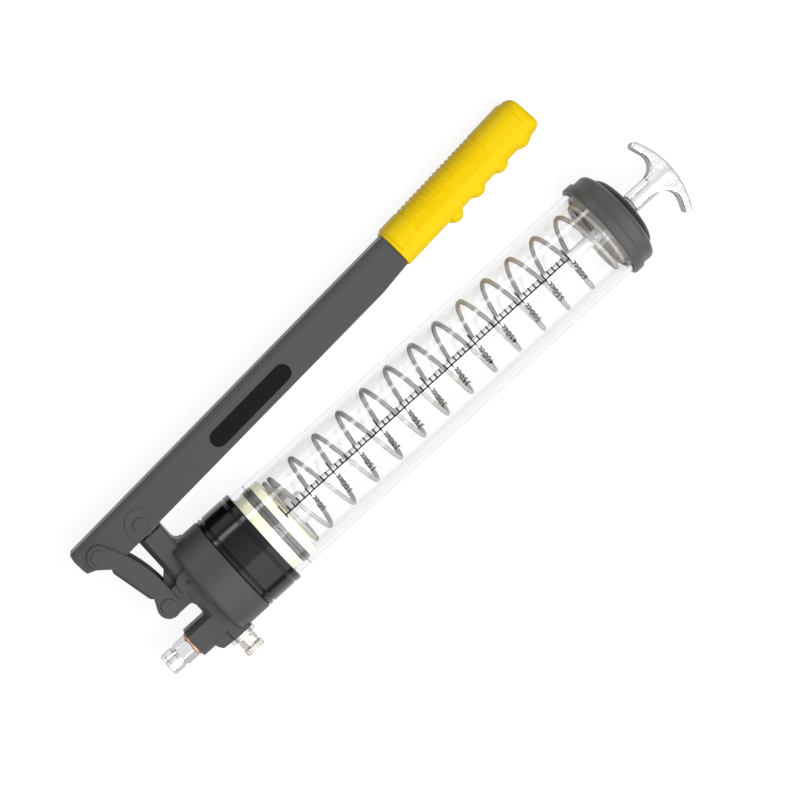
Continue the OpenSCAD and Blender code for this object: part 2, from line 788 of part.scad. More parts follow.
module lever_grip() {
    first_bump = 41.2;
    bump_pitch = 20.5;
    bump_hs = [3.8, 2.8, 2.6, 2.2];
    band_from = 2.6;
    band_to = grip_len - 9;
    groove_from = 21;
    groove_pitch = 3.5;
    groove_w = 1.6;
    color([1, 0.87, 0.02])
        difference() {
            intersection() {
                on_grip()
                    union() {
                        grip_prism(-over, grip_len, 0);
                        // Raised band over the outer half, cut by grooves into ribs
                        intersection() {
                            grip_prism(band_from, band_to, rib_h);
                            translate([0, -2.5, -grip_w])
                                cube([grip_len, grip_h, 2 * grip_w]);
                            union() {
                                cube_span(band_from, groove_from - groove_pitch);
                                for (i = [0 : groove_count - 2])
                                    cube_span(groove_from + (i - 1) * groove_pitch + groove_w,
                                        groove_from + i * groove_pitch);
                                cube_span(groove_from + (groove_count - 2) * groove_pitch + groove_w,
                                    band_to);
                            }
                        }
                        for (i = [0 : len(bump_hs) - 1])
                            finger_bump(first_bump + i * bump_pitch, bump_hs[i]);
                    }
                // Rounded far end, seen from the side and from above
                on_grip()
                    plate(-grip_w, grip_w)
                        polygon(rounded([
                            [-over, -grip_h, 0], [-over, grip_h / 2 + rib_h, 0],
                            [grip_len - 2, grip_h / 2 + rib_h, 6], [grip_len, -grip_h / 2, 6],
                            [grip_len - 6, -grip_h / 2, 0], [grip_len - 6, -grip_h, 0]]));
                on_grip()
                    rotate([90, 0, 0])
                        plate(-grip_h, grip_h)
                            polygon(rounded([
                                [-over, -grip_w / 2 - rib_h, 0], [-over, grip_w / 2 + rib_h, 0],
                                [grip_len, grip_w / 2 + rib_h, 8],
                                [grip_len, -grip_w / 2 - rib_h, 8]]));
            }
            on_grip()
                translate([-2 * over, -tang_h / 2 - fit, -tang_w / 2 - fit])
                    cube([tang_len + 2 * over + 2 * fit, tang_h + 2 * fit, tang_w + 2 * fit]);
            // The sleeve's end follows the end of the lever's channel
            on_lever()
                translate([lever_reach - grip_len, -2 * grip_h, -grip_w])
                    cube([grip_len + fit, 4 * grip_h, 2 * grip_w]);
        }
}

module cube_span(from, to) {
    translate([from, -grip_h, -grip_w])
        cube([to - from, 2 * grip_h, 2 * grip_w]);
}

// A finger bump: a ridge across the grip's underside with round ends
module finger_bump(at, h) {
    w = 11;
    r = (w * w / 4 + h * h) / (2 * h);
    half = grip_w / 2 - 1.5 - r;
    translate([at, -grip_h / 2 - h + r, 0]) {
        translate([0, 0, -half])
            cylinder(r = r, h = 2 * half);
        for (s = [-1, 1])
            translate([0, 0, s * half])
                sphere(r = r);
    }
}

module barrel_gasket() {
    color([0.12, 0.12, 0.12])
        turned([[floor_x, sleeve_r - 0.4], [floor_x, spigot_r - 0.1], [spigot_x, spigot_r - 0.1],
            [spigot_x, sleeve_r - 0.4]]);
}

module barrel_collar() {
    groove = 0.9;
    color([0.2, 0.22, 0.23])
        turned(rounded([
            [spigot_x, sleeve_r, 0], [spigot_x, spigot_r, 0.6], [collar_x - 0.1, spigot_r, 0],
            [collar_x - 0.1, rim_r - 1.4, 0], [collar_x + 0.2, collar_r, 0],
            [collar_x + 2.4, collar_r, 0.4], [collar_x + 2.7, collar_r - groove, 0.2],
            [collar_x + 3.5, collar_r - groove, 0.2], [collar_x + 4, collar_r, 0.4],
            [collar_end_x - 6, collar_r, 0.4], [collar_end_x - 5.4, collar_r - 0.5, 0.2],
            [collar_end_x - 4.6, collar_r - 0.5, 0.2], [collar_end_x - 4, collar_r, 0.4],
            [collar_end_x, collar_r, 0.8], [collar_end_x, tube_out_r + 0.03, 0.3],
            [tube_seat_x, tube_out_r + 0.03, 0], [tube_seat_x, tube_r - 0.03, 0],
            [ledge_x, tube_r - 0.03, 0], [ledge_x, sleeve_r, 0.3]], 3));
}

module barrel_tube() {
    color([0.85, 0.9, 0.92, 0.35])
        turned(rounded([
            [tube_seat_x, tube_r, 0], [tube_seat_x, tube_out_r, 0], [tube_end_x, tube_out_r, 0.3],
            [tube_end_x, tube_r, 0.3]], 3));
}

module front_disc() {
    color(cream)
        turned(rounded([
            [disc_x, rod_r + fit, 0], [disc_x, disc_r, 0.6], [disc_x + 2.4, disc_r, 0],
            [disc_x + 2.4, disc_r - 1.2, 0], [seal_x - 1.6, disc_r - 1.2, 0],
            [seal_x - 1.6, disc_r, 0], [seal_x, disc_r, 0], [seal_x, rod_r + fit, 0]], 3));
}

module follower_seal() {
    color([0.11, 0.11, 0.115])
        turned(rounded([
            [seal_x, rod_r + fit, 0], [seal_x, tube_r - 0.9, 0], [seal_x + 1.2, tube_r - 0.12, 0.4],
            [rear_x - 1.2, tube_r - 0.12, 0.4], [rear_x, tube_r - 0.9, 0],
            [rear_x, rod_r + fit, 0]], 3));
}

module rear_disc() {
    color(cream)
        turned(rounded([
            [rear_x, rod_r + fit, 0], [rear_x, disc_r, 0.4], [spring_x, disc_r, 0.6],
            [spring_x, hub_r, 0], [nut_x, hub_r, 0.8], [nut_x, rod_r + fit, 0]], 3));
}

// The hub centres the spring's first coil, and the nut stands on it
hub_r = spring_od / 2 - wire_d - 1;
nut_t = 6.6;
nut_af = 20;
lock_t = 1.4;

module lock_washer() {
    color(steel)
        turned(rounded([
            [nut_x + gap, rod_r, 0], [nut_x + gap, nut_af / 2 + 1.4, 0.2],
            [nut_x + lock_t, nut_af / 2 + 1.4, 0.2], [nut_x + lock_t, rod_r, 0]], 3));
}

module rod_nut() {
    from = nut_x + lock_t;
    color(zinc)
        difference() {
            union() {
                intersection() {
                    rotate([10, 0, 0])
                        hex_bar(nut_af, from, from + nut_t);
                    turned([[from, 0], [from, nut_af / 2 + 0.4], [from + 1.2, nut_af / 2 + 1.4],
                        [from + nut_t - 1.2, nut_af / 2 + 1.4], [from + nut_t, nut_af / 2 + 0.2],
                        [from + nut_t, 0]]);
                }
                turned([[from + nut_t - over, 0], [from + nut_t - over, 7.4],
                    [from + nut_t + 4.6, 6.8], [from + nut_t + 6, 5.4], [from + nut_t + 6, 0]]);
            }
            rod_along_x(rod_r, from - over, from + nut_t + 8);
        }
}

module follower_rod() {
    color([0.8, 0.81, 0.83])
        turned([[disc_x - 4.2, 0], [disc_x - 4.2, rod_r + 2.6], [disc_x - 3.2, rod_r + 3.4],
            [disc_x - gap, rod_r + 3.4], [disc_x - gap, rod_r], [shaft_x + 14, rod_r],
            [shaft_x + 14, 0]]);
}

// The spring closes flat on both end faces and bows a little between them. Its pitch eases
// in and out of the closed turns, and each turn stands square to the bowed axis.
module follower_spring() {
    steps = 20;
    sides = 8;
    ease = 0.7;
    start = -0.35;
    wire_r = wire_d / 2;
    r = spring_od / 2 - wire_r;
    from = spring_x + wire_r;
    to = seat_x - wire_r;
    closed = wire_d + 0.1;
    turns = spring_turns + 2;
    pitch = (to - from - (2 + ease) * closed) / (spring_turns - ease);
    points = round(turns * steps);
    function eased(t) =
        t < 0 ? closed * t
        : t < ease ? closed * t + (pitch - closed) * t * t / (2 * ease)
        : pitch * (t - ease / 2) + closed * ease / 2;
    function along(t) =
        t < turns / 2 ? from + closed + eased(t - 1) : to - closed - eased(turns - 1 - t);
    function coil(t) =
        let (x = along(t), a = 360 * (start + t), share = 180 * (x - from) / (to - from))
        let (flat_end = min(1, max(0, min(t, turns - t) - 1)))
        let (lean = flat_end * atan(PI * spring_bow / (to - from) * cos(share)))
        [x - r * cos(a) * sin(lean), r * cos(a) * cos(lean) + spring_bow * sin(share), r * sin(a)];
    color([0.6, 0.57, 0.54])
        wire([for (i = [0 : points]) coil(turns * i / points)], wire_r, sides);
}

// Dished plate between the spring and the cap's floor
module spring_seat() {
    skirt_r = tube_r - 0.35;
    color([0.62, 0.59, 0.56])
        turned(rounded([
            [seat_x, bushing_r, 0], [seat_x, skirt_r, 1.6], [cap_floor_x, skirt_r, 0],
            [cap_floor_x, skirt_r - 1.6, 0], [seat_x + 1.8, skirt_r - 1.6, 0.4],
            [seat_x + 1.8, bushing_r, 0]], 4));
}

module end_cap() {
    inner_r = tube_out_r + 0.03;
    rim_end = cap_x + rim_len;
    dome_r = shoulder_r - 0.8;
    color([0.36, 0.36, 0.365])
        turned(rounded([
            [cap_x, inner_r, 0], [cap_x, rim_r - 0.8, 0], [cap_x + 0.8, rim_r, 0.3],
            [rim_end - 0.8, rim_r, 0.3], [rim_end, rim_r - 0.8, 0], [rim_end, cap_r, 0.2],
            [shoulder_x - 2.9, cap_r, 1.2], [shoulder_x, shoulder_r, 0], [shoulder_x, dome_r, 0],
            [shoulder_x - 0.6, dome_r, 0], [shoulder_x - 0.6, dome_r - 0.5, 0],
            [shoulder_x + cap_dome * 0.5, (2 * dome_r + bushing_r) / 3, 4], [cap_end_x, bushing_r, 0],
            [cap_end_x, bore_r, 0], [cap_end_x - wall, bore_r, 0],
            [cap_end_x - wall, bushing_r + 2, 2], [cap_floor_x + 1, dome_r - 3, 2],
            [cap_floor_x, dome_r - 3, 0], [cap_floor_x, inner_r, 0]], 4));
    wall = 3.2;
    bore_r = rod_r + 3;
}

module cap_bushing() {
    color([0.93, 0.9, 0.78])
        turned(rounded([
            [cap_end_x - 6, rod_r + fit, 0], [cap_end_x - 6, rod_r + 3, 0],
            [cap_end_x, rod_r + 3, 0], [cap_end_x, bushing_r, 0.4],
            [bushing_end_x, shaft_d / 2 - 0.2, 0.6], [bushing_end_x, rod_r + fit, 0]], 4));
}

// Points of an arc about a centre, from one angle to another
function arc(centre, r, from, to, n) =
    [for (i = [0 : n]) let (a = from + (to - from) * i / n) centre + r * [cos(a), sin(a)]];

// Half of the bar's outline: a bow that thins towards its round tip, filleted into the shaft
function half_bar(side) =
    let (tip_r = tip_t / 2, mid_r = bow_r - tip_r, sweep = asin((bar_span / 2 - tip_r) / mid_r))
    let (in_tip = (bow_r - tip_t) * [cos(sweep), sin(sweep)], sag = bow_r - bar_t - in_tip.x)
    let (in_r = (sag * sag + in_tip.y * in_tip.y) / (2 * sag), in_x = bow_r - bar_t - in_r)
    let (fillet_r = 9, foot_y = shaft_d / 2 - 0.4)
    let (fillet_x = sqrt(pow(in_r - fillet_r, 2) - pow(foot_y + fillet_r, 2)))
    let (turn = atan((foot_y + fillet_r) / fillet_x), in_sweep = asin(in_tip.y / in_r))
    [for (p = concat(
        arc([0, 0], bow_r, 0, sweep, 10),
        arc(mid_r * [cos(sweep), sin(sweep)], tip_r, sweep + 20, sweep + 160, 7),
        arc([in_x, 0], in_r, in_sweep, turn, 8),
        arc([in_x + fillet_x, foot_y + fillet_r], fillet_r, turn - 10, -90, 6)))
        [p.x, side * p.y]];

module t_handle() {
    corner_r = 2.2;
    bar_end = bar_x + bar_reach;
    lower = half_bar(-1);
    color([0.84, 0.84, 0.85])
        difference() {
            union() {
                rod_along_x(shaft_d / 2, shaft_x, bar_end - bar_t / 2);
                intersection() {
                    plate(-bar_w / 2, bar_w / 2)
                        translate([bar_end - bow_r, 0])
                            polygon(concat(half_bar(1), [for (i = [len(lower) - 1 : -1 : 1]) lower[i]]));
                    translate([shaft_x, 0, 0])
                        rotate([90, 0, 90])
                            linear_extrude(2 * shaft_len)
                                polygon(rounded([
                                    for (c = [[1, 1], [1, -1], [-1, -1], [-1, 1]])
                                        [c.x * (bar_span / 2 + 0.5), c.y * (bar_w / 2 + 0.1),
                                            corner_r]]));
                }
            }
            rod_along_x(rod_r, shaft_x - over, shaft_x + 14);
        }
}

lying() {
    pump_head();
    outlet_washer();
    outlet_adapter();
    check_ball();
    check_spring();
    bleeder_body();
    bleeder_knob();
    plunger();
    plunger_seal();
    link_head_pin();
    link();
    lever_link_pin();
    lever();
    lever_plunger_pin();
    lever_grip();
    label_plate();
    barrel_gasket();
    barrel_collar();
    barrel_tube();
    front_disc();
    follower_seal();
    rear_disc();
    lock_washer();
    rod_nut();
    follower_rod();
    follower_spring();
    spring_seat();
    end_cap();
    cap_bushing();
    t_handle();
}
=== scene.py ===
# A lever grease gun with a clear barrel, lying on a pale floor and seen from above its lever.
from math import cos, pi, radians, sin

import bpy
from mathutils import Matrix, Vector


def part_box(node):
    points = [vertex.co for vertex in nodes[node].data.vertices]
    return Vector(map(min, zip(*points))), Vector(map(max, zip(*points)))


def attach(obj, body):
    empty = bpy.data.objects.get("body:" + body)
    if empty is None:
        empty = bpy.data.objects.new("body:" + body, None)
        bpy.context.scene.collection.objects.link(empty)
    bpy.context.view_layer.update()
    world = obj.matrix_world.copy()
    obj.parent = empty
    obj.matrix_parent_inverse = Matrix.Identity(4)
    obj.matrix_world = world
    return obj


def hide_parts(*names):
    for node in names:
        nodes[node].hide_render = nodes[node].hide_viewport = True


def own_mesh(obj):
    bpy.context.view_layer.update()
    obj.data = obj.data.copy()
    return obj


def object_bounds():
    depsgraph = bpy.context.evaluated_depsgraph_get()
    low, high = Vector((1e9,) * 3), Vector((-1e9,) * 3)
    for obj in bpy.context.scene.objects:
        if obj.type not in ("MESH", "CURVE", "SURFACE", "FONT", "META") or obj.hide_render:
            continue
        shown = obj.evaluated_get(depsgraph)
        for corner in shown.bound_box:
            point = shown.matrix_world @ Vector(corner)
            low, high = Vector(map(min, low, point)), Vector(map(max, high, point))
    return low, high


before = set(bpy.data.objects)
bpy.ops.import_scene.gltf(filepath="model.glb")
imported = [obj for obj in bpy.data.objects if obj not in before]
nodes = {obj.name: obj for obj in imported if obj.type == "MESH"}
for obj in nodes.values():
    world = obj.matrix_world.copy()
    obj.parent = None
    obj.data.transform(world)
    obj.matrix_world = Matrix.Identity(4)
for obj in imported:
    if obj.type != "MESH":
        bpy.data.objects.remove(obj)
cad_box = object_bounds()

# Camera
# The gun lies with its barrel along X, rolled until its grip touches the ground. The camera
# looks down at it from the lever's side, from a bit more than an arm's length, and is turned
# so that the barrel climbs to the upper right.
barrel_low, barrel_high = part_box("barrel_tube")
BARREL_Y = (barrel_low[1] + barrel_high[1]) / 2
BARREL_Z = (barrel_low[2] + barrel_high[2]) / 2
GUN_ROLL = radians(11.678)
CAMERA_LEAN = GUN_ROLL + radians(8)
CAMERA_CLIMB = radians(42.13)
CAMERA_DISTANCE = 1.45
CAMERA_LENS = 106
AIM_X = 0.2146
EYE_X = 0.1348
LEVER_SHIFT = 0.0057

lever_side = Vector((0, cos(CAMERA_LEAN), -sin(CAMERA_LEAN)))
toward_eye = Vector((0, sin(CAMERA_LEAN), cos(CAMERA_LEAN)))
shift = LEVER_SHIFT * lever_side
aim = Vector((AIM_X, BARREL_Y, BARREL_Z)) + shift
eye = Vector((EYE_X, BARREL_Y, BARREL_Z)) + shift + CAMERA_DISTANCE * toward_eye
back = (eye - aim).normalized()
along = (Vector((1, 0, 0)) - back * back.x).normalized()
across = back.cross(along)
right = cos(CAMERA_CLIMB) * along - sin(CAMERA_CLIMB) * across
up = sin(CAMERA_CLIMB) * along + cos(CAMERA_CLIMB) * across
bpy.ops.object.camera_add(location=eye)
camera = bpy.context.object
camera.name = "camera"
camera.rotation_euler = Matrix((
    (right.x, up.x, back.x), (right.y, up.y, back.y), (right.z, up.z, back.z))).to_euler()
camera.data.sensor_width = 36
camera.data.lens = CAMERA_LENS
bpy.context.scene.camera = camera

# Studio
# A white table top under two big soft lamps, as for a catalogue picture. Paper and sky are
# plain white to the camera, and to what gloss, metal and glass show of them, but the room's
# walls, low down, are dark in gloss. The paper throws only a little light back.


def seen_directly(tree):
    """One for rays of the camera, of a reflection or through glass, and zero for the rest."""
    path = tree.nodes.new("ShaderNodeLightPath")
    pick = path.outputs["Is Camera Ray"]
    for kind in ("Is Glossy Ray", "Is Transmission Ray"):
        larger = tree.nodes.new("ShaderNodeMath")
        larger.operation = "MAXIMUM"
        tree.links.new(pick, larger.inputs[0])
        tree.links.new(path.outputs[kind], larger.inputs[1])
        pick = larger.outputs[0]
    return pick


FLOOR_GAP = 0.0003
PAPER_TONE = 0.3
PAPER_TONE_SEEN = 0.16
PAPER_LIFT = 0.885
SKY_STRENGTH = 0.33
WALL_SHADE = 0.06
TABLE_CENTRE = Vector((0.2, 0, 0))

bpy.ops.object.select_all(action="DESELECT")
bpy.ops.mesh.primitive_plane_add(
    size=14, location=(TABLE_CENTRE.x, TABLE_CENTRE.y, cad_box[0][2] - FLOOR_GAP))
floor = bpy.context.object
floor.name = "floor"
paper = bpy.data.materials.new("paper")
paper.use_nodes = True
tree = paper.node_tree
shader = tree.nodes["Principled BSDF"]
shader.inputs["Roughness"].default_value = 0.9
shader.inputs["Specular IOR Level"].default_value = 0
direct = seen_directly(tree)
paper_tone = tree.nodes.new("ShaderNodeMix")
paper_tone.data_type = "RGBA"
paper_tone.inputs["A"].default_value = (PAPER_TONE, PAPER_TONE, PAPER_TONE, 1)
paper_tone.inputs["B"].default_value = (PAPER_TONE_SEEN, PAPER_TONE_SEEN, PAPER_TONE_SEEN, 1)
tree.links.new(direct, paper_tone.inputs["Factor"])
tree.links.new(paper_tone.outputs["Result"], shader.inputs["Base Color"])
white_lift = tree.nodes.new("ShaderNodeEmission")
lift_gain = tree.nodes.new("ShaderNodeMath")
lift_gain.operation = "MULTIPLY"
lift_gain.inputs[1].default_value = PAPER_LIFT
both = tree.nodes.new("ShaderNodeAddShader")
tree.links.new(direct, lift_gain.inputs[0])
tree.links.new(lift_gain.outputs[0], white_lift.inputs["Strength"])
tree.links.new(shader.outputs[0], both.inputs[0])
tree.links.new(white_lift.outputs[0], both.inputs[1])
tree.links.new(both.outputs[0], tree.nodes["Material Output"].inputs["Surface"])
floor.data.materials.append(paper)

world = bpy.data.worlds.new("studio")
bpy.context.scene.world = world
world.use_nodes = True
tree = world.node_tree
sky_gain = tree.nodes.new("ShaderNodeMapRange")
sky_gain.inputs["To Min"].default_value = SKY_STRENGTH
sky_gain.inputs["To Max"].default_value = 1
tree.links.new(seen_directly(tree), sky_gain.inputs["Value"])
heading = tree.nodes.new("ShaderNodeTexCoord")
height = tree.nodes.new("ShaderNodeSeparateXYZ")
tree.links.new(heading.outputs["Generated"], height.inputs[0])
walls = tree.nodes.new("ShaderNodeMapRange")
walls.inputs["To Min"].default_value = WALL_SHADE
tree.links.new(height.outputs["Z"], walls.inputs["Value"])
in_gloss = tree.nodes.new("ShaderNodeMix")
in_gloss.inputs["A"].default_value = 1
path = tree.nodes.new("ShaderNodeLightPath")
tree.links.new(path.outputs["Is Glossy Ray"], in_gloss.inputs["Factor"])
tree.links.new(walls.outputs[0], in_gloss.inputs["B"])
sky = tree.nodes.new("ShaderNodeMath")
sky.operation = "MULTIPLY"
tree.links.new(sky_gain.outputs[0], sky.inputs[0])
tree.links.new(in_gloss.outputs["Result"], sky.inputs[1])
tree.links.new(sky.outputs[0], tree.nodes["Background"].inputs["Strength"])
tree.nodes["Background"].inputs["Color"].default_value = (1, 1, 1, 1)


def soft_lamp(name, place, size, power, lights, mirrored):
    """A lamp over the table that either lights surfaces or only shows in their gloss."""
    bpy.ops.object.light_add(type="AREA", location=place)
    lamp = bpy.context.object
    lamp.name = name
    lamp.data.shape = "ELLIPSE"
    lamp.data.size, lamp.data.size_y = size
    lamp.data.energy = power
    lamp.visible_camera = False
    lamp.visible_diffuse = lights
    lamp.visible_glossy = mirrored
    lamp.rotation_euler = (TABLE_CENTRE - Vector(place)).to_track_quat("-Z", "Y").to_euler()


soft_lamp("lamp_over_table", (0.26, 0.1, 1.6), (1.0, 1.0), 15, True, False)
soft_lamp("lamp_right", (0.95, -0.6, 1.1), (0.6, 0.6), 3.2, True, False)
soft_lamp("gloss_strip", (0.2, 1.25, 0.3), (1.6, 0.2), 4.8, False, True)
soft_lamp("gloss_panel", (0.2, -0.62, 0.79), (2.2, 1.5), 11, False, True)
bpy.context.scene.view_settings.view_transform = "Standard"

# Pump head
# One die casting with the cup for the barrel, the plunger's tower, the outlet boss and the
# link's arm. It is painted a satin grey that softens the casting's fine grain.


def grain_group():
    """Fine grain and slow blotches in a finish, as a colour, a roughness and a normal."""
    group = bpy.data.node_groups.new("fine_grain", "ShaderNodeTree")
    face = group.interface
    for label, kind, value in (
            ("Color", "NodeSocketColor", (0.5, 0.5, 0.5, 1)), ("Blotch", "NodeSocketFloat", 0.1),
            ("Roughness", "NodeSocketFloat", 0.5), ("Spread", "NodeSocketFloat", 0.1),
            ("Scale", "NodeSocketFloat", 900), ("Depth", "NodeSocketFloat", 0.00003),
            ("Rounding", "NodeSocketFloat", 0.0005)):
        socket = face.new_socket(name=label, in_out="INPUT", socket_type=kind)
        socket.default_value = value
    face.new_socket(name="Color", in_out="OUTPUT", socket_type="NodeSocketColor")
    face.new_socket(name="Roughness", in_out="OUTPUT", socket_type="NodeSocketFloat")
    face.new_socket(name="Normal", in_out="OUTPUT", socket_type="NodeSocketVector")
    new = group.nodes.new
    link = group.links.new
    given = new("NodeGroupInput")
    result = new("NodeGroupOutput")
    place = new("ShaderNodeTexCoord")
    fine = new("ShaderNodeTexNoise")
    fine.inputs["Detail"].default_value = 3
    link(place.outputs["Object"], fine.inputs["Vector"])
    link(given.outputs["Scale"], fine.inputs["Scale"])
    slow = new("ShaderNodeTexNoise")
    slow.inputs["Scale"].default_value = 45
    slow.inputs["Detail"].default_value = 4
    link(place.outputs["Object"], slow.inputs["Vector"])
    swing = new("ShaderNodeMath")
    swing.operation = "SUBTRACT"
    link(slow.outputs["Fac"], swing.inputs[0])
    swing.inputs[1].default_value = 0.5
    rough = new("ShaderNodeMath")
    rough.operation = "MULTIPLY_ADD"
    link(swing.outputs[0], rough.inputs[0])
    link(given.outputs["Spread"], rough.inputs[1])
    link(given.outputs["Roughness"], rough.inputs[2])
    link(rough.outputs[0], result.inputs["Roughness"])
    gain = new("ShaderNodeMath")
    gain.operation = "MULTIPLY_ADD"
    link(swing.outputs[0], gain.inputs[0])
    link(given.outputs["Blotch"], gain.inputs[1])
    gain.inputs[2].default_value = 1
    tint = new("ShaderNodeVectorMath")
    tint.operation = "SCALE"
    link(given.outputs["Color"], tint.inputs[0])
    link(gain.outputs[0], tint.inputs["Scale"])
    link(tint.outputs[0], result.inputs["Color"])
    rounded = new("ShaderNodeBevel")
    rounded.samples = 6
    link(given.outputs["Rounding"], rounded.inputs["Radius"])
    bump = new("ShaderNodeBump")
    link(rounded.outputs[0], bump.inputs["Normal"])
    link(fine.outputs["Fac"], bump.inputs["Height"])
    link(given.outputs["Depth"], bump.inputs["Distance"])
    link(bump.outputs[0], result.inputs["Normal"])
    return group


fine_grain = grain_group()


def edge_group():
    """A patchy mask of the edges, from a rounded normal and the true one, for painted edge light.
    """
    group = bpy.data.node_groups.new("painted_edge_light", "ShaderNodeTree")
    socket = group.interface.new_socket(
        name="Width", in_out="INPUT", socket_type="NodeSocketFloat")
    socket.default_value = 0.0008
    group.interface.new_socket(name="Mask", in_out="OUTPUT", socket_type="NodeSocketFloat")
    new = group.nodes.new
    link = group.links.new
    given = new("NodeGroupInput")
    result = new("NodeGroupOutput")
    rounded = new("ShaderNodeBevel")
    rounded.samples = 6
    link(given.outputs["Width"], rounded.inputs["Radius"])
    true = new("ShaderNodeNewGeometry")
    agree = new("ShaderNodeVectorMath")
    agree.operation = "DOT_PRODUCT"
    link(rounded.outputs[0], agree.inputs[0])
    link(true.outputs["Normal"], agree.inputs[1])
    edge = new("ShaderNodeMapRange")
    edge.inputs["From Min"].default_value = 0.99
    edge.inputs["From Max"].default_value = 0.86
    link(agree.outputs["Value"], edge.inputs["Value"])
    place = new("ShaderNodeTexCoord")
    patches = new("ShaderNodeTexNoise")
    patches.inputs["Scale"].default_value = 160
    patches.inputs["Detail"].default_value = 5
    link(place.outputs["Object"], patches.inputs["Vector"])
    patchy = new("ShaderNodeMapRange")
    patchy.inputs["From Min"].default_value = 0.4
    patchy.inputs["From Max"].default_value = 0.62
    link(patches.outputs["Fac"], patchy.inputs["Value"])
    both = new("ShaderNodeMath")
    both.operation = "MULTIPLY"
    link(edge.outputs[0], both.inputs[0])
    link(patchy.outputs[0], both.inputs[1])
    link(both.outputs[0], result.inputs["Mask"])
    return group


painted_edge_light = edge_group()


def grained(name, color, rough, metal=0.0, blotch=0.15, spread=0.15, scale=900, height=0.1,
            shine=0.5, rounding=0.0005):
    """A finish whose colour, roughness and normal come from the fine grain."""
    material = bpy.data.materials.new(name)
    material.use_nodes = True
    tree = material.node_tree
    grain = tree.nodes.new("ShaderNodeGroup")
    grain.node_tree = fine_grain
    grain.inputs["Color"].default_value = (*color, 1)
    grain.inputs["Roughness"].default_value = rough
    grain.inputs["Blotch"].default_value = blotch
    grain.inputs["Spread"].default_value = spread
    grain.inputs["Scale"].default_value = scale
    grain.inputs["Depth"].default_value = height * 0.0003
    grain.inputs["Rounding"].default_value = rounding
    shader = tree.nodes["Principled BSDF"]
    shader.inputs["Metallic"].default_value = metal
    shader.inputs["Specular IOR Level"].default_value = shine
    if metal:
        shader.inputs["Specular Tint"].default_value = (0.25, 0.25, 0.27, 1)
    tree.links.new(grain.outputs["Color"], shader.inputs["Base Color"])
    tree.links.new(grain.outputs["Roughness"], shader.inputs["Roughness"])
    tree.links.new(grain.outputs["Normal"], shader.inputs["Normal"])
    return material


def paint_edge_light(material, color, width=0.0008):
    """Paint another colour along a finish's edges: lighter as a painted highlight, darker as
    painted shade.
    """
    tree = material.node_tree
    shader = tree.nodes["Principled BSDF"]
    edges = tree.nodes.new("ShaderNodeGroup")
    edges.node_tree = painted_edge_light
    edges.inputs["Width"].default_value = width
    mix = tree.nodes.new("ShaderNodeMix")
    mix.data_type = "RGBA"
    mix.inputs["B"].default_value = (*color, 1)
    tree.links.new(edges.outputs["Mask"], mix.inputs["Factor"])
    tree.links.new(shader.inputs["Base Color"].links[0].from_socket, mix.inputs["A"])
    tree.links.new(mix.outputs["Result"], shader.inputs["Base Color"])


def finish(piece, material):
    piece.data.materials.clear()
    piece.data.materials.append(material)


cast_paint = grained(
    "cast_paint", (0.08, 0.08, 0.084), 0.42, scale=1400, height=0.35, shine=0.25, rounding=0.0014)
# Painted highlight: a lighter grey along the casting's edges.
paint_edge_light(cast_paint, (0.17, 0.17, 0.175))
finish(nodes["pump_head"], cast_paint)

# Outlet
# The zinc-plated adapter screws into the head against a soft copper washer. Behind it a steel
# ball on a light spring is the check valve.


def copied(name, new_name):
    """A copy of a CAD piece, which is then the only one selected and the active one."""
    piece = nodes[name].copy()
    piece.data = nodes[name].data.copy()
    piece.name = new_name
    bpy.context.collection.objects.link(piece)
    bpy.ops.object.select_all(action="DESELECT")
    piece.select_set(True)
    bpy.context.view_layer.objects.active = piece
    return piece


zinc_plate = grained("zinc_plate", (0.86, 0.87, 0.88), 0.25, metal=1.0, scale=2500, height=0.08)
copper = grained("copper", (0.72, 0.42, 0.32), 0.45, metal=1.0, scale=2500, height=0.1)
ground_steel = grained("ground_steel", (0.5, 0.5, 0.51), 0.3, metal=1.0, scale=3000, height=0.1)
finish(nodes["outlet_adapter"], zinc_plate)
finish(nodes["outlet_washer"], copper)
finish(nodes["check_ball"], ground_steel)
valve_coil = copied("check_spring", "valve_coil")
finish(valve_coil, ground_steel)
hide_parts("check_spring")
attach(valve_coil, "gun")
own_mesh(valve_coil)

# Bleeder valve
# A flanged hexagon body in the head's underside with a knurled knob on its stem, both plated
# in a warm nickel.
nickel = grained("nickel", (0.97, 0.92, 0.85), 0.25, metal=1.0, scale=2500, height=0.08)
finish(nodes["bleeder_body"], nickel)
finish(nodes["bleeder_knob"], nickel)

# Plunger
# A ground steel rod with a slotted head. A rubber seal at the top of the tower wipes it.
rubber = grained("rubber", (0.012, 0.012, 0.013), 0.55, scale=1800, height=0.3)
finish(nodes["plunger"], ground_steel)
finish(nodes["plunger_seal"], rubber)

# Link, lever and pins
# Both are folded from sheet steel and painted with the head's grey. Riveted pins join them to
# each other, to the head's arm and to the plunger.
sheet_paint = grained(
    "sheet_paint", (0.078, 0.078, 0.082), 0.4, scale=1100, height=0.2, shine=0.25, rounding=0.001)
# Painted highlight: a lighter grey along the edges of the sheet parts and pins.
paint_edge_light(sheet_paint, (0.19, 0.19, 0.195))
for name in ("link", "lever", "link_head_pin", "lever_link_pin", "lever_plunger_pin"):
    finish(nodes[name], sheet_paint)

# Label plate
# A thin black foil plate stuck on the lever's flank. Nothing is printed on it.
black_foil = grained(
    "black_foil", (0.008, 0.0075, 0.008), 0.4, scale=2500, height=0.05, shine=0.08)
finish(nodes["label_plate"], black_foil)

# Grip
# A yellow sleeve of soft moulded plastic pushed over the lever's tang, ribbed on its outer
# side and bumped for the fingers underneath.
END_ROUND = 0.011
WELD = 0.00001


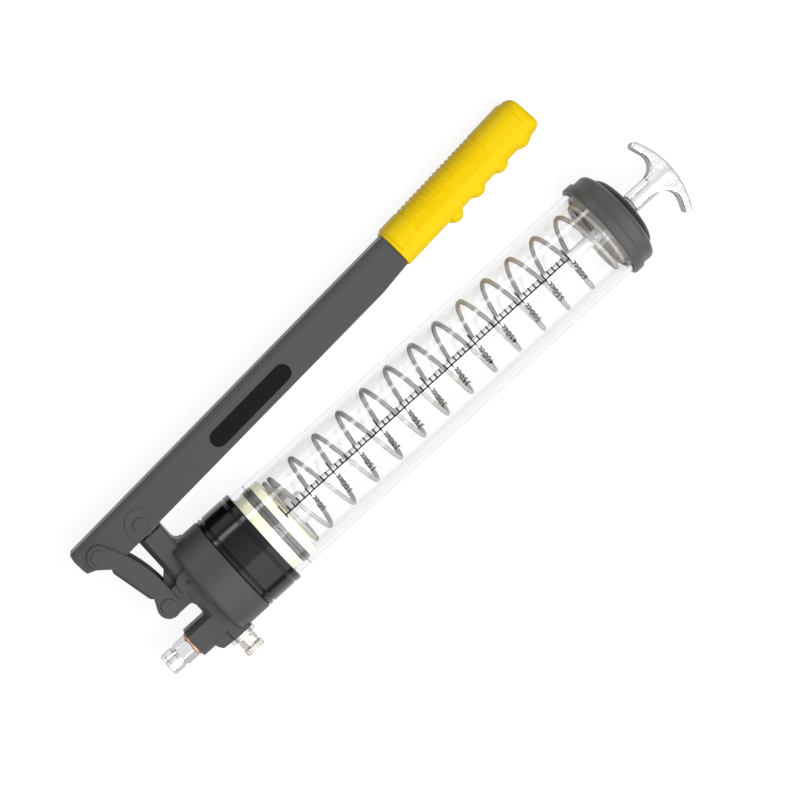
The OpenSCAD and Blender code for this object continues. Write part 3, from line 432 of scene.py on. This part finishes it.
def remeshed(piece, voxel_size):
    """Weld the active piece and wrap it in a fine, even mesh."""
    bpy.ops.object.mode_set(mode="EDIT")
    bpy.ops.mesh.select_all(action="SELECT")
    bpy.ops.mesh.remove_doubles(threshold=WELD)
    bpy.ops.object.mode_set(mode="OBJECT")
    even = piece.modifiers.new("even", "REMESH")
    even.mode = "VOXEL"
    even.voxel_size = voxel_size
    bpy.ops.object.modifier_apply(modifier="even")


def softened(piece, iterations, group=""):
    """Round the active piece's edges, all of them or those of a vertex group."""
    smooth = piece.modifiers.new("smooth", "SMOOTH")
    smooth.factor = 0.5
    smooth.iterations = iterations
    smooth.vertex_group = group
    bpy.ops.object.modifier_apply(modifier="smooth")


grip = copied("lever_grip", "grip_sleeve")
remeshed(grip, 0.0006)
grip_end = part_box("lever_grip")[1][0]
soft_end = grip.vertex_groups.new(name="soft_end")
for vertex in grip.data.vertices:
    weight = (vertex.co.x - (grip_end - END_ROUND)) / END_ROUND
    if weight > 0:
        soft_end.add([vertex.index], min(1, 2 * weight), "REPLACE")
softened(grip, 1)
softened(grip, 60, "soft_end")
bpy.ops.object.shade_smooth()
yellow_grip = grained(
    "yellow_grip", (1.0, 0.7, 0.0), 0.42, blotch=0.06, scale=1200, height=0.15, shine=0.15,
    rounding=0)
finish(grip, yellow_grip)
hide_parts("lever_grip")
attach(grip, "lever")

# Collar and gasket
# The barrel's lower collar is a glossy black moulding, and screws into the cup on a gasket.
gloss_black = grained(
    "gloss_black", (0.005, 0.0065, 0.0075), 0.14, scale=1000, height=0.04, shine=0.35)
finish(nodes["barrel_collar"], gloss_black)
finish(nodes["barrel_gasket"], rubber)

# Clear tube
# Extruded clear polycarbonate. It lets the lamps shine through to what it holds.
clear_tube = bpy.data.materials.new("clear_tube")
clear_tube.use_nodes = True
tree = clear_tube.node_tree
glass = tree.nodes["Principled BSDF"]
glass_tone = tree.nodes.new("ShaderNodeMix")
glass_tone.data_type = "RGBA"
glass_tone.inputs["A"].default_value = (0.965, 0.967, 0.975, 1)
glass_tone.inputs["B"].default_value = (0.8, 0.81, 0.83, 1)
grazing = tree.nodes.new("ShaderNodeLayerWeight")
grazing.inputs["Blend"].default_value = 0.25
tree.links.new(grazing.outputs["Facing"], glass_tone.inputs["Factor"])
tree.links.new(glass_tone.outputs["Result"], glass.inputs["Base Color"])
glass.inputs["Roughness"].default_value = 0.03
glass.inputs["IOR"].default_value = 1.45
glass.inputs["Transmission Weight"].default_value = 1
shadow_free = tree.nodes.new("ShaderNodeBsdfTransparent")
shadow_free.inputs["Color"].default_value = (0.94, 0.95, 0.95, 1)
path = tree.nodes.new("ShaderNodeLightPath")
choose = tree.nodes.new("ShaderNodeMixShader")
tree.links.new(path.outputs["Is Shadow Ray"], choose.inputs["Fac"])
tree.links.new(glass.outputs[0], choose.inputs[1])
tree.links.new(shadow_free.outputs[0], choose.inputs[2])
tree.links.new(choose.outputs[0], tree.nodes["Material Output"].inputs["Surface"])
finish(nodes["barrel_tube"], clear_tube)

# Follower
# Two cream plastic discs hold a rubber seal between them on the rod.
cream_plastic = grained("cream_plastic", (0.88, 0.86, 0.64), 0.4, scale=1100, height=0.08)
finish(nodes["front_disc"], cream_plastic)
finish(nodes["rear_disc"], cream_plastic)
grey_rubber = grained("grey_rubber", (0.09, 0.092, 0.09), 0.5, scale=1800, height=0.3)
finish(nodes["follower_seal"], grey_rubber)

# Follower rod
# Zinc-plated steel, with a washer and a hexagon nut behind the follower.
bright_rod = grained("bright_rod", (0.76, 0.775, 0.785), 0.45, metal=0.6, scale=2500, height=0.08)
finish(nodes["follower_rod"], bright_rod)
finish(nodes["rod_nut"], bright_rod)
finish(nodes["lock_washer"], ground_steel)

# Follower spring
# One length of oiled round wire with a flat coil at each end. It pushes the follower towards
# the head and sags a little between its ends.
WIRE_R = 0.0015
COIL_R = 0.0233
OPEN_TURNS = 13.2
TURNS = OPEN_TURNS + 2
CLOSED_PITCH = 0.0031
EASE = 0.7
START_TURN = -0.35
SPRING_BOW = 0.0032
REAR_HUB = 0.0023
STEPS_PER_TURN = 36
spring_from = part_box("rear_disc")[1][0] - REAR_HUB + WIRE_R
spring_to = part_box("spring_seat")[0][0] - WIRE_R
open_pitch = (spring_to - spring_from - (2 + EASE) * CLOSED_PITCH) / (OPEN_TURNS - EASE)


def lying(x, y, z):
    """A point given from the barrel's axis, y towards the lever, as it lies after the roll."""
    return Vector((x, BARREL_Y + y * cos(GUN_ROLL) + z * sin(GUN_ROLL),
                   BARREL_Z - y * sin(GUN_ROLL) + z * cos(GUN_ROLL)))


def eased(turn):
    """How far the wire has advanced, a number of turns after its closed turn."""
    if turn < 0:
        return CLOSED_PITCH * turn
    if turn < EASE:
        return CLOSED_PITCH * turn + (open_pitch - CLOSED_PITCH) * turn * turn / (2 * EASE)
    return open_pitch * (turn - EASE / 2) + CLOSED_PITCH * EASE / 2


def coil_point(turn):
    """The wire's centre after a number of turns. It stands square to the bowed axis."""
    if turn < TURNS / 2:
        x = spring_from + CLOSED_PITCH + eased(turn - 1)
    else:
        x = spring_to - CLOSED_PITCH - eased(TURNS - 1 - turn)
    share = (x - spring_from) / (spring_to - spring_from)
    bow = SPRING_BOW * sin(pi * share)
    flat_end = min(1, max(0, min(turn, TURNS - turn) - 1))
    lean = flat_end * SPRING_BOW * pi / (spring_to - spring_from) * cos(pi * share)
    a = 2 * pi * (START_TURN + turn)
    out = COIL_R * cos(a)
    return lying(x - out * sin(lean), out * cos(lean) + bow, COIL_R * sin(a))


bpy.ops.curve.primitive_bezier_curve_add(location=(0, 0, 0))
spring = bpy.context.object
spring.name = "spring_wire"
spring.data.splines.clear()
spline = spring.data.splines.new("POLY")
steps = round(STEPS_PER_TURN * TURNS)
spline.points.add(steps)
for index in range(steps + 1):
    spline.points[index].co = (*coil_point(TURNS * index / steps), 1)
spring.data.dimensions = "3D"
spring.data.bevel_depth = WIRE_R
spring.data.bevel_resolution = 2
spring.data.use_fill_caps = True
bpy.ops.object.convert(target="MESH")
bpy.ops.object.shade_smooth()
spring_wire = grained(
    "spring_wire", (0.36, 0.335, 0.312), 0.5, metal=0.35, scale=2200, height=0.15, shine=0.3)
finish(spring, spring_wire)
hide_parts("follower_spring")
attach(spring, "gun")
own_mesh(spring)

# Spring seat
# A dished plate of the same brown-grey steel, between the spring and the cap's floor.
finish(nodes["spring_seat"], spring_wire)

# End cap and bushing
# The cap is a dark grey moulding, turned up with a rim, a rounded shoulder and a near-black
# domed end that holds an ivory bushing for the rod.
CAP_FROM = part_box("end_cap")[0][0]
CAP_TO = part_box("end_cap")[1][0]
CAP_DOME_RISE = 0.0056
DOME_FROM = CAP_TO - CAP_DOME_RISE
DOME_FLAT_R = 0.01
DOME_ROUND = 0.0158
TUBE_HOLE_R = 0.03178
RIM_R = 0.03415
RIM_END = CAP_FROM + 0.0068
CAP_BODY_R = 0.0327
CAP_FLOOR = CAP_FROM + 0.0144
FLOOR_HOLE_R = 0.0227
ROD_HOLE_R = 0.007
CAP_WALL = 0.0032
cap_side = [
    (CAP_FROM, TUBE_HOLE_R), (CAP_FROM, 0.0336), (CAP_FROM + 0.0006, RIM_R),
    (RIM_END - 0.0006, RIM_R), (RIM_END, 0.0335), (RIM_END, CAP_BODY_R),
    (DOME_FROM - 0.0042, CAP_BODY_R), (DOME_FROM - 0.0022, 0.0315), (DOME_FROM - 0.0009, 0.0287),
    (DOME_FROM - 0.0008, 0.0266), (DOME_FROM - 0.0002, 0.0264)]
cap_dome = [
    (DOME_FROM + CAP_DOME_RISE * sin(pi / 2 * step / 9),
     DOME_FLAT_R + DOME_ROUND * cos(pi / 2 * step / 9))
    for step in range(10)]
cap_inside = [
    (CAP_TO, ROD_HOLE_R), (CAP_TO - CAP_WALL, ROD_HOLE_R), (CAP_TO - CAP_WALL, 0.012),
    (CAP_FLOOR + 0.001, FLOOR_HOLE_R), (CAP_FLOOR, FLOOR_HOLE_R), (CAP_FLOOR, TUBE_HOLE_R)]
cap_profile = cap_side + cap_dome + cap_inside
bpy.ops.mesh.primitive_circle_add(vertices=len(cap_profile), location=(0, 0, 0))
cap = bpy.context.object
cap.name = "turned_cap"
for vertex, (x, reach) in zip(cap.data.vertices, cap_profile):
    vertex.co = (x, BARREL_Y, BARREL_Z + reach)
bpy.ops.object.mode_set(mode="EDIT")
bpy.ops.mesh.select_all(action="SELECT")
bpy.ops.mesh.spin(steps=128, angle=2 * pi, center=(CAP_TO, BARREL_Y, BARREL_Z), axis=(1, 0, 0))
bpy.ops.mesh.select_all(action="SELECT")
bpy.ops.mesh.remove_doubles(threshold=WELD)
bpy.ops.mesh.normals_make_consistent(inside=False)
bpy.ops.object.mode_set(mode="OBJECT")
round_off = cap.modifiers.new("round_off", "BEVEL")
round_off.width = 0.0004
round_off.segments = 2
round_off.limit_method = "ANGLE"
round_off.angle_limit = radians(28)
bpy.ops.object.modifier_apply(modifier="round_off")
bpy.ops.object.shade_smooth_by_angle(angle=radians(40))
cap_plastic = grained("cap_plastic", (0.1, 0.1, 0.102), 0.4, scale=1300, height=0.12, shine=0.3)
# Painted highlight: a lighter grey along the cap's edges.
paint_edge_light(cap_plastic, (0.19, 0.19, 0.195))
tree = cap_plastic.node_tree
place = tree.nodes.new("ShaderNodeTexCoord")
split = tree.nodes.new("ShaderNodeSeparateXYZ")
dome = tree.nodes.new("ShaderNodeMapRange")
dome.inputs["From Min"].default_value = DOME_FROM - 0.0004
dome.inputs["From Max"].default_value = DOME_FROM - 0.0002
mix = tree.nodes.new("ShaderNodeMix")
mix.data_type = "RGBA"
mix.inputs["B"].default_value = (0.022, 0.022, 0.024, 1)
shader = tree.nodes["Principled BSDF"]
tree.links.new(place.outputs["Object"], split.inputs[0])
tree.links.new(split.outputs["X"], dome.inputs["Value"])
tree.links.new(dome.outputs[0], mix.inputs["Factor"])
tree.links.new(shader.inputs["Base Color"].links[0].from_socket, mix.inputs["A"])
tree.links.new(mix.outputs["Result"], shader.inputs["Base Color"])
finish(cap, cap_plastic)
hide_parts("end_cap")
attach(cap, "gun")
ivory = grained("ivory", (0.9, 0.88, 0.8), 0.4, scale=1100, height=0.08)
finish(nodes["cap_bushing"], ivory)

# T-handle
# A die casting over the rod's end, brightly plated, with the casting's soft waves left in it.
bright_casting = grained(
    "bright_casting", (0.88, 0.88, 0.89), 0.2, metal=1.0, scale=260, height=1.6, rounding=0)
# Painted shade: a dark grey along the handle's edges outlines it against the white.
paint_edge_light(bright_casting, (0.2, 0.2, 0.21), 0.001)
handle = copied("t_handle", "pull_handle")
remeshed(handle, 0.0005)
softened(handle, 36)
bpy.ops.object.shade_smooth()
finish(handle, bright_casting)
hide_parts("t_handle")
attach(handle, "rod")

# Printed scale
# Black ink on the outside of the tube: a line along the barrel with a mark every 10 cc and a
# number every 50 cc. It is laid out flat and then wrapped round the tube.
TUBE_R = (barrel_high[2] - barrel_low[2]) / 2
SCALE_ZERO = 0.1155
SCALE_50 = 0.01925
RING_X = 0.1071
SCALE_TURN = GUN_ROLL + radians(8.9)
INK_W = 0.0009
INK_LIFT = 0.0001
RING_W = 0.0003
NUMBER_SIZE = 0.0052
NUMBER_BESIDE = 0.0019
NUMBER_BELOW = 0.0026
MARK_BELOW = 0.0022
printed = []


def ink_strip(x_from, x_to, y_from, y_to):
    """A flat strip of ink, split across so that it bends round the tube."""
    bpy.ops.mesh.primitive_grid_add(
        x_subdivisions=1, y_subdivisions=6, size=1,
        location=((x_from + x_to) / 2, (y_from + y_to) / 2, 0))
    strip = bpy.context.object
    strip.scale = (x_to - x_from, y_to - y_from, 1)
    printed.append(strip)


ink_strip(SCALE_ZERO, SCALE_ZERO + 12 * SCALE_50, -INK_W / 2, INK_W / 2)
for mark in range(61):
    x = SCALE_ZERO + SCALE_50 * mark / 5
    low, high = 0, 0.0037
    if mark % 10 == 0:
        low, high = -MARK_BELOW, 0.0072
    elif mark % 5 == 0:
        low, high = -MARK_BELOW, 0.0045
    ink_strip(x - INK_W / 2, x + INK_W / 2, low, high)
for step in range(1, 13):
    bpy.ops.object.text_add(
        location=(SCALE_ZERO + SCALE_50 * step + NUMBER_BESIDE, -NUMBER_BELOW, 0),
        rotation=(0, 0, pi / 2))
    number = bpy.context.object
    number.data.body = f"{50 * step}cc"
    number.data.size = NUMBER_SIZE
    number.data.offset = 0.00009
    number.data.space_character = 1.16
    number.data.align_x = "RIGHT"
    bpy.ops.object.convert(target="MESH")
    printed.append(number)
bpy.ops.mesh.primitive_grid_add(
    x_subdivisions=1, y_subdivisions=180, size=1, location=(RING_X, 0, 0))
ring = bpy.context.object
ring.scale = (RING_W, 2 * pi * TUBE_R, 1)
printed.append(ring)
bpy.ops.object.select_all(action="DESELECT")
for piece in printed:
    piece.select_set(True)
bpy.context.view_layer.objects.active = printed[0]
bpy.ops.object.join()
bpy.ops.object.transform_apply(location=True, rotation=True, scale=True)
scale_print = bpy.context.object
scale_print.name = "scale_print"
for vertex in scale_print.data.vertices:
    turn = SCALE_TURN + vertex.co.y / TUBE_R
    reach = TUBE_R + INK_LIFT
    vertex.co = (vertex.co.x, BARREL_Y + reach * sin(turn), BARREL_Z + reach * cos(turn))
ink = grained("ink", (0.004, 0.004, 0.005), 0.6, scale=2500, height=0.02, shine=0.1)
finish(scale_print, ink)
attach(scale_print, "gun")

bpy.context.view_layer.update()
